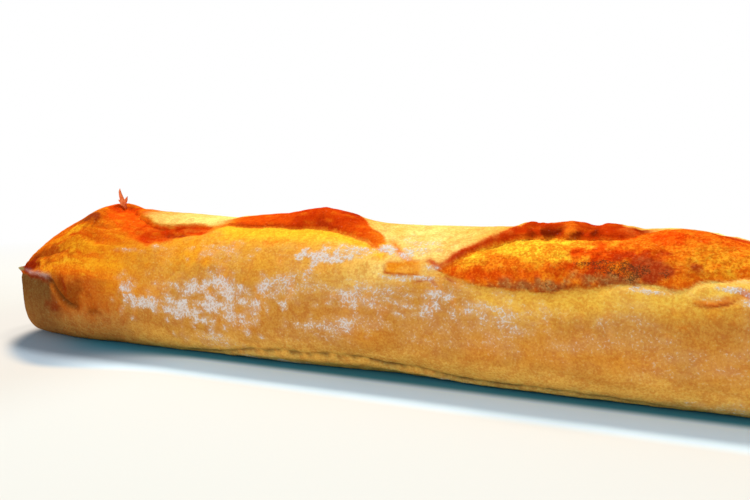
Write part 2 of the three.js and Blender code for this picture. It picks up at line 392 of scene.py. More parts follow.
def end_relief():
    """Folds, a ridge and a torn tip on the high end."""
    rise = np.zeros(S.shape)
    distance, share = near(FOLD)
    rise += groove(distance, share, 1.7, 0.9) + 0.7 * taper(share) * hill(distance, -2.2, 1.6)
    distance, share = near(FOLD_BRANCH)
    rise += groove(distance, share, 0.9, 0.8)
    distance, share = near(END_RIDGE)
    rise += 0.8 * taper(share, 1, 0.5) * hill(distance, 0, 1.1)
    rise += 0.5 * smooth(80, 56, S) * hill(ANGLE, 66, 26) * LINES
    rise += 2.4 * hill(S, 12, 1.6) * hill(ANGLE, 71, 4)
    rise -= 1.8 * hill(S, 59, 1.8) * hill(ANGLE, 0, 5)
    return rise


def foot_relief():
    """A lip of dough that was squeezed out along the tray, with a crease over it."""
    distance, share = near(FOOT_CREASE)
    return groove(distance, share, 1.0, 0.9) + 0.5 * taper(share) * hill(distance, 2.4, 1.6)


def shaped():
    """The finished points of the crust, in mm."""
    low = smooth(98, 118, np.abs(ANGLE))
    resting = smooth(131, 136, np.abs(ANGLE))
    rise, hang = relief()
    rise += end_relief() + foot_relief()
    rise += 0.5 * fractal(BARE, 42, 2, 51) * (1 - resting)
    skin = 0.16 * fractal(BARE, 6.5, 3, 61) + 0.07 * noise(BARE, 1.9, 65)
    torn = 0.34 * fractal(BARE, 4.2, 3, 71) + 0.16 * noise(BARE, 1.7, 75)
    rise += (skin + OPEN * torn) * (1 - resting)
    rise *= smooth(0, 6, FROM_END)
    points = BARE + OUT * rise[..., None] + AROUND * hang[..., None]
    tuck = 3.2 * hill(S, 190, 34) * low * (ANGLE > 0)
    points[..., 1] += tuck * (1 - resting * 0.2)
    points[..., 2] = np.maximum(points[..., 2], TABLE_GAP)
    return points


POINTS = shaped()

# ---------------------------------------------------------------- colours, linear
PALE = np.array((1.0, 0.74, 0.20))
YELLOW = np.array((0.98, 0.50, 0.022))
GOLD = np.array((0.78, 0.34, 0.034))
HONEY = np.array((0.95, 0.36, 0.012))
AMBER = np.array((0.86, 0.29, 0.012))
ORANGE = np.array((0.84, 0.185, 0.007))
FLAME = np.array((0.82, 0.085, 0.003))
RED = np.array((0.66, 0.045, 0.002))
MAROON = np.array((0.42, 0.030, 0.003))
RUST = np.array((0.52, 0.095, 0.006))
BROWN = np.array((0.46, 0.060, 0.010))
UMBER = np.array((0.46, 0.16, 0.035))
BURNT = np.array((0.16, 0.025, 0.006))
TAN = np.array((0.545, 0.230, 0.036))
STRAW = np.array((0.80, 0.40, 0.070))
OLIVE = np.array((0.62, 0.38, 0.090))
DUSK = np.array((0.16, 0.075, 0.020))
CHESTNUT = np.array((0.47, 0.105, 0.010))
LEMON = np.array((0.88, 0.48, 0.055))
BRIGHT = np.array((1.0, 0.50, 0.020))
TIP = np.array((0.36, 0.32, 0.13))
# Olive-brown crust of the end facet, painted darker as shade.
END_FACE_AND_SHADE = np.array((0.155, 0.066, 0.016))
SHADE_TAN = np.array((0.50, 0.21, 0.042))
# A painted pinkish-grey highlight along the ridge between the top and the end facet.
RIDGE_HIGHLIGHT = np.array((0.42, 0.22, 0.19))


def laid(colour, over, amount):
    return colour + (over - colour) * clamp01(amount)[..., None]


EDGE_NOISE = {}


def edge_noise(size, seed):
    if (size, seed) not in EDGE_NOISE:
        EDGE_NOISE[size, seed] = fractal(BARE, size, 2, seed)
    return EDGE_NOISE[size, seed]


def patch(s, angle, reach_s, reach_angle, ragged=0.35, size=5.0, seed=90):
    """A soft patch on the crust with an uneven edge."""
    r = np.sqrt(((S - s) / reach_s) ** 2 + ((ANGLE - angle) / reach_angle) ** 2)
    return smooth(1.25, 0.35, r + ragged * edge_noise(size, seed))


# Degrees from the middle of the top, on either side; on the end caps it follows the height instead.
HOW_LOW = clamp01((WAIST - BARE[..., 2]) / WAIST)
SIDE_BY_HEIGHT = 90 + np.degrees(np.arcsin(HOW_LOW ** (1 / ROUND_CORNER))) / 2
SIDE_BY_HEIGHT = SIDE_BY_HEIGHT + 60 * smooth(2.5, 0.5, BARE[..., 2])
SIDE = np.minimum(np.abs(ANGLE), SIDE_BY_HEIGHT)
BROAD = fractal(BARE, 30, 3, 81)
FINE = fractal(BARE, 6, 3, 85)
STRETCH = np.array((0.25, 1.0, 1.0))
STREAKS = fractal(BARE * STRETCH, 4, 3, 87)


# The bare patch of crust under the end of the long ear.
PATCH_ALONG = smooth(190, 192, WS) * smooth(206, 203, WS)
ORANGE_PATCH = PATCH_ALONG * smooth(50, 52.5, ANGLE + 0.15 * (S - 192)) * smooth(61, 59.5, ANGLE)


def skin_colour():
    """Crust that no slash reaches: golden on top, tan below, brown underneath."""
    colour = np.broadcast_to(GOLD, (*S.shape, 3)).copy()
    colour = laid(colour, TAN, smooth(58, 82, SIDE + 7 * BROAD + 3 * STREAKS))
    colour = laid(colour, AMBER, 0.35 * hill(SIDE, 98, 8) * smooth(-0.6, 0.5, BROAD))
    colour = laid(colour, STRAW, smooth(98, 112, SIDE + 5 * STREAKS))
    colour = laid(colour, OLIVE, 0.8 * smooth(112, 122, SIDE + 4 * FINE))
    distance, share = near(FOOT_CREASE)
    crease = hill(distance, 0, 0.9) * taper(share, 1, 0.4)
    colour = laid(colour, DUSK, 0.85 * crease * smooth(-0.6, 0.2, FINE))
    colour = laid(colour, PALE * 0.8, 0.6 * hill(distance, 2.6, 1.4) * taper(share) * smooth(-0.1, 0.5, FINE))
    colour = laid(colour, TAN * 0.75, smooth(129, 137, SIDE))
    colour = laid(colour, BROWN, 0.6 * smooth(131, 140, SIDE) * smooth(-0.3, 0.7, BROAD + 0.5 * FINE))
    colour = laid(colour, AMBER, 0.45 * smooth(0.1, 0.7, FINE + 0.6 * BROAD) * smooth(95, 70, SIDE))
    colour = laid(colour, HONEY, 0.6 * patch(104, 52, 18, 14, 0.6))
    under_ear = hill(ANGLE, 31, 9) * smooth(112, 125, S + 6 * FINE) * smooth(192, 178, S)
    colour = laid(colour, YELLOW * 1.02, 0.95 * under_ear)
    colour = laid(colour, ORANGE, 0.5 * hill(ANGLE, 40, 4) * smooth(0.0, 0.6, FINE) * hill(S, 140, 18))
    return colour


def valley_colour(colour):
    """Pale skin on the top, between two slashes."""
    for start in [*SLASHES, SLASHES[-1] + SLASH_PITCH]:
        strip = smooth(66, 50, ANGLE + 0.5 * (S - start)) * smooth(-75, -30, ANGLE + 12 * BROAD)
        colour = laid(colour, PALE, 0.84 * strip * hill(S, start - 7, 25) * (0.85 + 0.4 * FINE))
    beyond = smooth(62, 78, S) * smooth(132, 112, S) * smooth(0.5, -1.5, FIRST_D)
    beyond = beyond * smooth(-70, -28, ANGLE + 12 * BROAD)
    return laid(colour, PALE, beyond * (0.85 + 0.3 * FINE))


# Spots on the high end: (colour, how much, mm, degrees, reach in mm, reach in degrees, raggedness,
# lump size in mm).
HIGH_END_SPOTS = [
    (YELLOW, 0.8, 45, 42, 5, 5, 0.6, 5.0), (RUST * 0.85, 1, 36, 59, 16, 8, 0.5, 5.0),
    (HONEY, 0.8, 53, 56, 12, 6, 0.7, 5.0), (FLAME, 0.95, 60, 12, 11, 13, 0.6, 5.0),
    (RED, 0.95, 59, 6, 7, 12, 0.6, 5.0), (RUST * 0.8, 0.8, 49, 30, 8, 8, 0.9, 3.0),
    (BURNT * 2, 0.85, 49.5, 30, 4, 4.5, 0.9, 2.5),
]


def high_end_colour(colour):
    """The orange end, with brown under it."""
    skin = smooth(97, 84, ANGLE + 7 * FINE) * smooth(-100, -84, ANGLE)
    front = smooth(1, -1, -FIRST_D - 1)
    colour = laid(colour, SHADE_TAN, smooth(100, 70, S + 8 * FINE) * smooth(90, 100, SIDE))
    colour = laid(colour, AMBER, 0.9 * smooth(104, 76, S + 10 * BROAD + 0.15 * (ANGLE - 50)) * skin * front)
    colour = laid(colour, ORANGE, smooth(84, 60, S + 9 * LINES + 0.1 * (ANGLE - 50)) * skin)
    colour = laid(colour, HONEY, 0.85 * smooth(0.15, 0.75, LINES) * smooth(90, 70, S) * skin)
    colour = laid(colour, RUST, 0.8 * smooth(-0.15, -0.75, LINES) * smooth(70, 50, S) * skin)
    shoulder = hill(ANGLE + 3 * LINES, 69.5, 4) * smooth(28, 45, S) * smooth(90, 70, S)
    colour = laid(colour, HONEY, 0.9 * shoulder)
    colour = laid(colour, RED, 0.55 * smooth(0.2, 0.8, FIBRES) * smooth(84, 60, S) * skin)
    colour = laid(colour, YELLOW, 0.5 * smooth(-0.25, -0.8, FIBRES) * smooth(96, 70, S) * skin)
    for tint, amount, *place in HIGH_END_SPOTS:
        colour = laid(colour, tint, amount * patch(*place))
    tip = smooth(30, 22, S + 3 * LINES) * hill(ANGLE, 66, 12)
    colour = laid(colour, MAROON * 0.7, tip + patch(24, 69, 12, 6, 0.5))
    low = smooth(76, 82, ANGLE + 3 * LINES) * smooth(107, 93, ANGLE + 6 * FINE)
    low = low * smooth(90, 62, S + 6 * FINE) * smooth(38, 44, S)
    colour = laid(colour, CHESTNUT, 0.85 * low)
    return laid(colour, CHESTNUT * 0.6, 0.8 * patch(53, 88, 8, 5, 0.6) + 0.8 * patch(64, 97, 4, 3, 0.7, 2.5))


def facet_colour(colour):
    """The olive facet under the high end, painted darker as shade, with its ridge, a painted highlight along
    the ridge, and its folds; the top of the high end is deepened, partly as painted shade.
    """
    blur = 9 * smooth(94, 104, ANGLE)
    facet = smooth(46 + blur, 40 - blur, S - 0.16 * (ANGLE - 92) + 3 * FINE) * smooth(76, 80, ANGLE)
    # The facet's olive-brown colour with painted shade, a little lighter further down.
    end_face_and_shade = END_FACE_AND_SHADE * (1.04 + 0.036 * np.clip(np.abs(ANGLE) - 90, 0, 40))[..., None]
    colour = laid(colour, end_face_and_shade, facet)
    colour = laid(colour, MAROON * 0.45, 0.7 * patch(42, 98, 6, 5, 0.6))
    behind = smooth(36, 18, S + 3 * FINE) * smooth(-78, -88, ANGLE + 3 * FINE)
    colour = laid(colour, end_face_and_shade, behind)
    colour = laid(colour, TIP, 0.9 * patch(12, 71, 3, 4, 0.3))
    # Deeper and redder over the top of the high end: partly the crust's colour, partly painted shade against
    # the key lamp's light there.
    painted_shade_on_top = 0.95 * smooth(112, 84, S) * smooth(70, 45, SIDE)
    colour = colour * (1 - painted_shade_on_top[..., None] * np.array((0.16, 0.25, 0.35)))
    distance, share = near(END_RIDGE)
    # Painted highlight along the ridge of the high end.
    colour = laid(colour, RIDGE_HIGHLIGHT, 0.9 * hill(distance, 0.3, 1.2) * taper(share, 1, 0.4))
    colour = laid(colour, MAROON * 0.5, 0.8 * hill(distance, 2.4, 1.1) * taper(share, 1, 0.4))
    distance, share = near(FOLD)
    colour = laid(colour, DUSK * 0.3, hill(distance, 0, 1.0) * taper(share, 1, 0.5))
    colour = laid(colour, CHESTNUT * 0.5, 0.8 * hill(distance, -2, 2.4) * taper(share, 1, 0.5))
    distance, share = near(FOLD_BRANCH)
    return laid(colour, MAROON * 0.6, 0.8 * hill(distance, 0, 0.9) * taper(share, 1, 0.5))


def furrow_colour(colour):
    """The short furrow next to the high end: red under its torn edge."""
    blur = 2.2 * FINE
    within = smooth(-0.6, 0.6, FIRST_D) * smooth(1.5, -3.0, FURROW_D + blur)
    within = within * smooth(52, 60, S) * smooth(120, 112, S)
    within = within * (0.65 + 0.35 * smooth(-0.5, 0.3, FIBRES))
    colour = laid(colour, FLAME, within * (0.85 + 0.6 * FINE))
    colour = laid(colour, RED * 0.95, within * (patch(89, 38, 14, 14, 0.6) + patch(104, 30, 11, 10, 0.5)))
    colour = laid(colour, ORANGE, within * 0.6 * smooth(0.25, 0.8, FINE + LINES))
    return laid(colour, BURNT, 0.85 * within * patch(101, 38, 8, 3.5, 0.4, 2.5))


def long_ear_colour(colour):
    """The second slash, whose ear curls over it: a red band with a thin dark lower edge."""
    ends = smooth(108, 120, S) * smooth(192, 188, S)
    band = smooth(-0.5, 0.6, BACK_D) * smooth(0.5, -0.3, LONG_D) * ends
    colour = laid(colour, ORANGE, band)
    colour = laid(colour, FLAME * 0.9, band * smooth(112, 126, S + 6 * FINE) * smooth(190, 176, S + 4 * FINE))
    colour = laid(colour, RED * 0.88, band * (0.8 + 0.7 * FINE) * smooth(136, 150, S) * smooth(182, 170, S))
    colour = laid(colour, MAROON, band * 0.9 * (patch(160, 21, 7, 4.5, 0.7, 3) + patch(171, 6, 6, 7, 0.7, 3)))
    colour = laid(colour, ORANGE, 0.5 * band * smooth(0.15, 0.7, FIBRES))
    colour = laid(colour, MAROON, 0.4 * band * smooth(-0.2, -0.8, FIBRES))
    colour = laid(colour, YELLOW, band * patch(189, 38, 3, 4, 0.5, 2.5))
    colour = laid(colour, BRIGHT, 0.9 * hill(LONG_D, 2.6, 2.4) * (LONG_D > 0) * ends)
    colour = laid(colour, FLAME, 0.8 * hill(LONG_D, 0.6, 0.6) * ends)
    colour = laid(colour, MAROON, 0.85 * hill(LONG_D, 0.0, 0.5) * smooth(112, 120, S) * smooth(156, 148, S))
    distance, share = near(LONG_TAIL)
    colour = laid(colour, ORANGE, 0.9 * hill(distance, 0, 1.4) * taper(share, 1, 0.3))
    distance, share = near(PATCH_EDGE)
    colour = laid(colour, AMBER, ORANGE_PATCH * (0.9 + 0.4 * FINE))
    colour = laid(colour, MAROON, 0.9 * hill(distance, 0, 0.7) * taper(share, 1, 0.4))
    for arc in ARCS:
        distance, share = near(arc)
        colour = laid(colour, MAROON, 0.85 * hill(distance, 0, 0.75) * taper(share, 1, 0.4))
    return colour


# Spots inside a slash: for each colour, (how much, mm, degrees, reach in mm, reach in degrees,
# raggedness, lump size in mm), measured from the slash's low end.
SLASH_SPOTS = [
    (YELLOW, [(1, 35, 34, 20, 15, 0.6, 5.0), (0.6, 14, 46, 8, 6, 0.6, 5.0)]),
    (AMBER * 0.95, [(0.9, 86, 34, 12, 18, 0.9, 4.0)]),
    (FLAME, [(0.8, 22, 57, 16, 5, 0.8, 3.0)]),
    (FLAME, [(1, 55, 38, 12, 11, 0.8, 4.0), (0.7, 88, 12, 16, 10, 0.8, 4.0)]),
    (RED * 0.9, [(0.9, 64, 40, 12, 9, 0.8, 4.0), (0.7, 51, 50, 13, 6, 0.8, 4.0)]),
    (FLAME, [(1, 73, 20, 10, 9, 0.8, 4.0)]),
    (BROWN, [(1, 68, 47, 12, 10, 0.7, 4.0)]),
    (UMBER, [(1, 37, 62.5, 17, 4, 0.7, 3.0), (1, 58, 56, 12, 4.5, 0.7, 3.0)]),
]
DRIFT_ALONG = 12.0
DRIFT_AROUND = 5.0


def slash_spots(colour, k):
    """The spots inside slash k. Those of the first slash stay put, the others drift by a seeded draw."""
    draws = np.random.default_rng(40 + k)
    for tint, spots in SLASH_SPOTS:
        cover = 0.0
        for amount, s, angle, *rest in spots:
            along, around = draws.uniform(-1, 1, 2) * (k > 0)
            s = SLASHES[k] + s + DRIFT_ALONG * along
            angle = TURNS[k] + angle + DRIFT_AROUND * around
            cover = cover + amount * OPENINGS[k] * patch(s, angle, *rest, 140 + k)
        colour = laid(colour, tint, cover)
    return colour


def slash_colour(colour, k):
    """Inside slash k: yellow at its low end, orange along it, brown above its crease."""
    _, crease, _ = SLASH_NEAR[k]
    along = S - SLASHES[k]
    inside = OPENINGS[k]
    below = hill(crease, 4.5, 4.5) * (1 - inside) * smooth(8, 24, along) * smooth(112, 84, along)
    colour = laid(colour, LEMON, 0.85 * below * (crease > 0))
    colour = laid(colour, ORANGE, inside)
    return slash_spots(colour, k)


def ear_masks(k):
    """Where the ear of slash k is red, and the wide middle part of that."""
    edge, _, _ = SLASH_NEAR[k]
    along = S - SLASHES[k]
    wide = 0.35 + 0.65 * smooth(18, 34, along) * smooth(68, 54, along)
    rim = smooth(-9, -6.5, edge / wide + 1.5 * FINE) * smooth(0.5, -0.2, edge)
    rim = rim * smooth(12, 24, along) * smooth(72, 62, along)
    thin = hill(edge, -0.9, 1.2) * smooth(-4, 2, along) * smooth(40, 30, along)
    late = hill(edge, -0.3, 1.3) * smooth(76, 86, along) * smooth(116, 104, along)
    red = np.maximum(np.maximum(rim, thin), late) * (ANGLE > -22 + TURNS[k])
    return red, rim


def ear_colour(colour, k):
    """The red ear of slash k with its notches, and the bright line under it."""
    edge, _, _ = SLASH_NEAR[k]
    along = S - SLASHES[k]
    red_line = hill(edge, 0.9, 1.0) * OPENINGS[k] * smooth(14, 30, along) * smooth(76, 62, along)
    colour = laid(colour, FLAME, 0.9 * red_line)
    bright_line = hill(edge, 3.0, 2.0) * OPENINGS[k] * smooth(8, 20, along) * smooth(52, 40, along)
    colour = laid(colour, BRIGHT, 0.7 * bright_line)
    red, rim = ear_masks(k)
    colour = laid(colour, FLAME, red * (1 + 0.4 * FINE))
    colour = laid(colour, RED * 0.8, red * (1.0 + 0.7 * FINE))
    colour = laid(colour, ORANGE, 0.7 * rim * patch(SLASHES[k] + 43, TURNS[k] + 14, 3, 7, 0.8, 3.0))
    notch = hill(edge, -1.4, 2.6) * smooth(-0.12, 0.18, noise(BARE, 4.5, 151))
    colour = laid(colour, MAROON * 0.4, notch * smooth(26, 34, along) * smooth(70, 62, along))
    return laid(colour, ORANGE, 0.15 * rim * smooth(0.4, 1.0, FIBRES + FINE))


def cut_lines_colour(colour, k):
    """The cut that leads to slash k, and the dark line of its crease."""
    if k > 0:
        distance, share = near(CUT_TAIL, SLASHES[k], TURNS[k])
        colour = laid(colour, ORANGE, 0.8 * hill(distance, -0.5, 0.9) * taper(share, 1, 0.35))
        colour = laid(colour, MAROON, 0.9 * hill(distance, 0.3, 0.5) * taper(share, 1, 0.35))
    _, crease, crease_t = SLASH_NEAR[k]
    dark = hill(crease, -0.5, 0.7) * taper(crease_t, 1, 0.4) * hill(S - SLASHES[k], 45, 26)
    return laid(colour, BURNT, 0.6 * dark)


def paint():
    """The crust's colour before its fine grain."""
    colour = valley_colour(skin_colour())
    colour = furrow_colour(facet_colour(high_end_colour(colour)))
    colour = long_ear_colour(colour)
    for k in range(len(SLASHES)):
        colour = ear_colour(slash_colour(colour, k), k)
        colour = cut_lines_colour(colour, k)
    return np.clip(colour, 0.001, 1)


# Flour: (mm, degrees, reach in mm, reach in degrees, how much), from the -X end or from a slash.
FLOUR_LEFT = [(83, 85, 4.5, 12, 0.7), (94, 91, 13, 3.5, 0.7), (106, 93, 14, 4, 0.4), (128, 85, 23, 15, 0.55),
              (116, 82, 20, 16, 0.25), (80, 56, 8, 2.5, 0.4), (94, 51, 6, 2.5, 0.4), (124, 50, 14, 8, 0.3),
              (122, 108, 16, 6, 0.35), (172, 94, 12, 4.5, 0.4), (188, 91, 10, 4, 0.3), (160, 74, 22, 12, 0.3),
              (195, 76, 20, 10, 0.3)]
FLOUR_BY_SLASH = [(-43, 50, 7, 7, 0.95), (-31, 45, 11, 7, 0.7), (-16, 40, 3.5, 4, 0.7), (-11, 46, 4, 5, 0.6),
                  (-5, 33, 9, 10, 0.35), (-2, 54, 5, 2.5, 0.6), (-6, 62, 10, 3, 0.4), (28, 80, 22, 10, 0.3),
                  (67, 60, 4, 3, 0.55), (74, 60.5, 4, 2.5, 0.5), (89, 54, 3, 2, 0.8), (94.5, 47.5, 2, 2, 0.7)]
FLOUR_LOW = [(146, 123, 16, 4, 0.5), (211, 124, 9, 4, 0.5), (300, 118, 20, 6, 0.3), (420, 116, 24, 6, 0.35)]
# Char inside a slash: (how much, mm, degrees, reach in mm, reach in degrees, raggedness, lump size in mm).
CHAR_SPOTS = [(0.8, 55, 46, 11, 3, 0.5, 4.0), (0.85, 60, 49, 17, 9, 0.35, 5.0),
              (0.5, 40, 62, 18, 4, 0.35, 5.0)]


def flour():
    """How much flour lies at each point, 0 to 1."""
    cloud = fractal(BARE, 18, 3, 101)
    back = 1 + 1.2 * cloud * (ANGLE < 0)
    dust = 0.22 * smooth(110, 92, SIDE) * smooth(40, 70, SIDE + 14 * cloud)
    dust *= smooth(-0.5, 0.5, cloud) * smooth(80, 104, S) * clamp01(back)
    dust += 0.22 * smooth(130, 140, SIDE)
    spots = FLOUR_LEFT + FLOUR_LOW
    for start in [*SLASHES, SLASHES[-1] + SLASH_PITCH]:
        spots = spots + [(s + start, angle, *rest) for s, angle, *rest in FLOUR_BY_SLASH]
    for s, angle, reach_s, reach_angle, amount in spots:
        dust += amount * patch(s, angle, reach_s, reach_angle, 0.75, 4.0)
    dust *= 1 + 0.4 * LINES + 0.8 * FIBRES + 0.5 * FINE
    for start, turn in zip(SLASHES[1:], TURNS[1:]):
        distance, share = near(CUT_TAIL, start, turn)
        dust *= 1 - hill(distance, 0, 1.3) * taper(share, 1, 0.3)
    dust *= 1 - 0.9 * ORANGE_PATCH
    return clamp01(dust * (1 - smooth(0.1, 0.6, OPEN)))


def char():
    """Where the crust has dark specks."""
    amount = np.full(S.shape, 0.05) + 0.5 * patch(49, 30, 5, 6, 0.5)
    for start, turn, inside in zip(SLASHES, TURNS, OPENINGS):
        for strength, s, angle, *rest in CHAR_SPOTS:
            amount += inside * strength * patch(start + s, turn + angle, *rest)
    return clamp01(amount)


TONE = paint()
FLOUR = flour()
CHAR = char()
TORN = clamp01(OPEN + 0.5 * smooth(70, 50, S) * ON_TOP)


# ---------------------------------------------------------------- the crust's mesh
def crust_mesh():
    """The grid of points closed by a fan at each end, and the flake. All faces look outwards."""
    rings, turns = S.shape
    ends = np.array([[-LENGTH / 2, 0, NOSE], [LENGTH / 2, 0, NOSE]])
    flake_points, flake_faces = flake()
    points = np.vstack([POINTS.reshape(-1, 3), ends, flake_points]) * MM
    start = rings * turns + 2
    flake_faces = [tuple(start + i for i in cell) for cell in flake_faces]
    i, j = np.meshgrid(np.arange(rings - 1), np.arange(turns), indexing="ij")
    k = (j + 1) % turns
    corners = [i * turns + j, i * turns + k, (i + 1) * turns + k, (i + 1) * turns + j]
    quads = np.stack(corners, axis=-1).reshape(-1, 4)
    first, last = rings * turns, rings * turns + 1
    near_cap = [(first, (j + 1) % turns, j) for j in range(turns)]
    base = (rings - 1) * turns
    far_cap = [(last, base + j, base + (j + 1) % turns) for j in range(turns)]
    mesh = bpy.data.meshes.new("baguette_crust")
    mesh.from_pydata(points.tolist(), [], quads.tolist() + near_cap + far_cap + flake_faces)
    mesh.update()
    return mesh


def add_values(mesh, name, grid, on_flake):
    """A number for each vertex: the grid's values, one for each end point, and one for all the flake."""
    flat = grid.reshape(-1)
    values = np.full(len(mesh.vertices), on_flake, np.float32)
    values[:len(flat)] = flat
    values[len(flat):len(flat) + 2] = flat[0], flat[-1]
    mesh.attributes.new(name, "FLOAT", "POINT").data.foreach_set("value", values)


def add_colours(mesh, name, grid, on_flake):
    flat = grid.reshape(-1, 3)
    colours = np.ones((len(mesh.vertices), 4), np.float32)
    colours[:, :3] = on_flake
    colours[:len(flat), :3] = flat
    colours[len(flat):len(flat) + 2, :3] = flat[0], flat[-1]
    mesh.attributes.new(name, "FLOAT_COLOR", "POINT").data.foreach_set("color", colours.ravel())


# A flake of crust on the high end: forked, thin and curled. Each prong is a line of
# (x, z, half width, half thickness) in mm from the flake's root.
FLAKE_ROOT = np.array((PEAK_AT + 1.7 - LENGTH / 2, -2.0, 56.8))
PRONGS = [
    [(0.3, -1.5, 1.9, 0.9), (0.0, 0.6, 1.6, 0.7), (-0.3, 2.6, 1.35, 0.5), (-0.9, 4.6, 1.0, 0.4),
     (-1.2, 6.3, 0.65, 0.3), (-1.0, 7.6, 0.1, 0.1)],
    [(0.6, 0.0, 1.1, 0.6), (1.1, 1.6, 1.0, 0.5), (2.1, 2.8, 0.75, 0.4), (2.9, 4.2, 0.1, 0.1)],
    [(-0.5, 1.0, 0.9, 0.5), (-1.5, 2.0, 0.6, 0.35), (-2.5, 2.6, 0.08, 0.08)],
]
PRONG_SIDES = 10
PRONG_LEAN = 0.08
FLAKE_COLOUR = np.array((0.80, 0.20, 0.06))


def prong(line):
    """Rings of points along a prong, and its faces."""
    line = np.array(line, float)
    turn = np.linspace(0, 2 * np.pi, PRONG_SIDES, endpoint=False)
    run = np.gradient(line[:, :2], axis=0)
    run /= np.linalg.norm(run, axis=1)[:, None]
    points = []
    for (x, z, wide, thick), (dx, dz) in zip(line, run):
        across = wide * np.cos(turn)
        deep = thick * np.sin(turn) - PRONG_LEAN * z
        points.append(np.stack([x + across * dz, deep, z - across * dx], axis=1))
    rings = len(line)
    faces = [(i * PRONG_SIDES + j, i * PRONG_SIDES + (j + 1) % PRONG_SIDES,
              (i + 1) * PRONG_SIDES + (j + 1) % PRONG_SIDES, (i + 1) * PRONG_SIDES + j)
             for i in range(rings - 1) for j in range(PRONG_SIDES)]
    faces.append(tuple(range(PRONG_SIDES))[::-1])
    faces.append(tuple((rings - 1) * PRONG_SIDES + j for j in range(PRONG_SIDES)))
    return np.vstack(points), faces


def flake():
    points, faces = [], []
    for line in PRONGS:
        more, cells = prong(line)
        start = sum(len(p) for p in points)
        points.append(more + FLAKE_ROOT)
        faces += [tuple(start + i for i in cell) for cell in cells]
    return np.vstack(points), faces


mesh = crust_mesh()
add_colours(mesh, "tone", TONE, FLAKE_COLOUR)
add_values(mesh, "flour", FLOUR, 0)
add_values(mesh, "char", CHAR, 0.1)
add_values(mesh, "torn", TORN, 0)
mesh.polygons.foreach_set("use_smooth", np.ones(len(mesh.polygons), bool))
loaf = bpy.data.objects.new("baguette_crust", mesh)
bpy.context.scene.collection.objects.link(loaf)


# ---------------------------------------------------------------- materials
class Nodes:
    """Short ways to add nodes to a material."""

    def __init__(self, name):
        self.material = bpy.data.materials.new(name)
        self.material.use_nodes = True
        self.tree = self.material.node_tree
        self.shader = self.tree.nodes["Principled BSDF"]

    def add(self, kind, inputs=(), **settings):
        node = self.tree.nodes.new(kind)
        for key, value in settings.items():
            setattr(node, key, value)
        for key, value in dict(inputs).items():
            if isinstance(value, bpy.types.NodeSocket):
                self.tree.links.new(value, node.inputs[key])
            else:
                node.inputs[key].default_value = value
        return node

    def math(self, operation, *values):
        return self.add("ShaderNodeMath", dict(enumerate(values)), operation=operation).outputs[0]

    def ramp(self, value, low, high):
        inputs = {"Value": value, "From Min": low, "From Max": high}
        return self.add("ShaderNodeMapRange", inputs, interpolation_type="SMOOTHSTEP").outputs["Result"]

    def blend(self, amount, a, b, mode="MIX"):
        node = self.add("ShaderNodeMix", {0: amount, 6: a, 7: b}, data_type="RGBA", blend_type=mode)
        return node.outputs[2]

    def noise(self, place, scale, detail=3.0, rough=0.55):
        inputs = {"Vector": place, "Scale": scale, "Detail": detail, "Roughness": rough}
        return self.add("ShaderNodeTexNoise", inputs).outputs["Fac"]

    def value(self, name):
        return self.add("ShaderNodeAttribute", attribute_name=name).outputs["Fac"]

    def link(self, socket, target):
        self.tree.links.new(socket, self.shader.inputs[target])


# Scales of the crust's grain, per metre, and the colours in it.
COARSE_SCALE = 300
FINE_SCALE = 1250
GRIT_SCALE = 2100
PIT_SCALE = 620.0
WEB_SCALE = 640.0
DARKENED = (0.74, 0.42, 0.36, 1)
LIGHTENED = (1.10, 1.5, 1.9, 1)
CHARRED = (0.085, 0.030, 0.010, 1)
THIN_FLOUR = (0.76, 0.52, 0.22, 1)
THICK_FLOUR = (0.62, 0.52, 0.44, 1)
FLOUR_GRAIN = (0.70, 0.67, 0.67, 1)
BUMP_DEPTH = 0.0006


def mottled(n, torn_here, coarse, fine):
    """The painted colour with darker and lighter mottling, stronger where the crust is torn."""
    tone = n.add("ShaderNodeAttribute", attribute_name="tone").outputs["Color"]
    dark = n.blend(1.0, tone, DARKENED, "MULTIPLY")
    light = n.blend(1.0, tone, LIGHTENED, "MULTIPLY")
    amount = n.math("MULTIPLY_ADD", torn_here, 0.3, 0.36)
    colour = n.blend(n.math("MULTIPLY", n.ramp(coarse, 0.54, 0.40), amount), tone, dark)
    colour = n.blend(n.math("MULTIPLY", n.ramp(coarse, 0.54, 0.68), torn_here), colour, light)
    colour = n.blend(n.math("MULTIPLY", n.ramp(fine, 0.5, 0.38), amount), colour, dark)
    return n.blend(n.math("MULTIPLY", n.ramp(fine, 0.52, 0.64), amount), colour, light)


def specked(n, place, colour, coarse):
    """The colour with specks of char."""
    grit = n.noise(place, GRIT_SCALE, 2, 0.6)
    grain = n.math("MULTIPLY_ADD", coarse, 0.4, n.math("MULTIPLY", grit, 0.6))
    speck = n.math("ADD", n.math("MULTIPLY", n.value("char"), 0.22), grain)
    return n.blend(n.math("MULTIPLY", n.ramp(speck, 0.66, 0.76), 0.75), colour, CHARRED)


def floured(n, place, colour, fine):
    """The colour under a thin haze of flour and its denser grains, and how much of both there is."""
    flour_here = n.value("flour")
    threads = n.add("ShaderNodeTexVoronoi", {"Vector": place, "Scale": WEB_SCALE}, feature="DISTANCE_TO_EDGE")
    web = n.ramp(threads.outputs["Distance"], 0.16, 0.02)
    web = n.math("MULTIPLY", web, n.math("MULTIPLY_ADD", flour_here, 0.35, 0.17))
    cover = n.math("MULTIPLY_ADD", n.math("SUBTRACT", fine, 0.5), 2.4, web)
    cover = n.math("MULTIPLY_ADD", flour_here, 0.48, cover)
    grains = n.math("MULTIPLY", n.ramp(cover, 0.36, 0.86), n.ramp(flour_here, -0.15, 0.6))
    haze = n.math("MULTIPLY", flour_here, 0.55)
    colour = n.blend(haze, colour, n.blend(flour_here, THIN_FLOUR, THICK_FLOUR))
    colour = n.blend(n.math("MULTIPLY", grains, 0.72), colour, FLOUR_GRAIN)
    return colour, n.math("MAXIMUM", grains, haze)


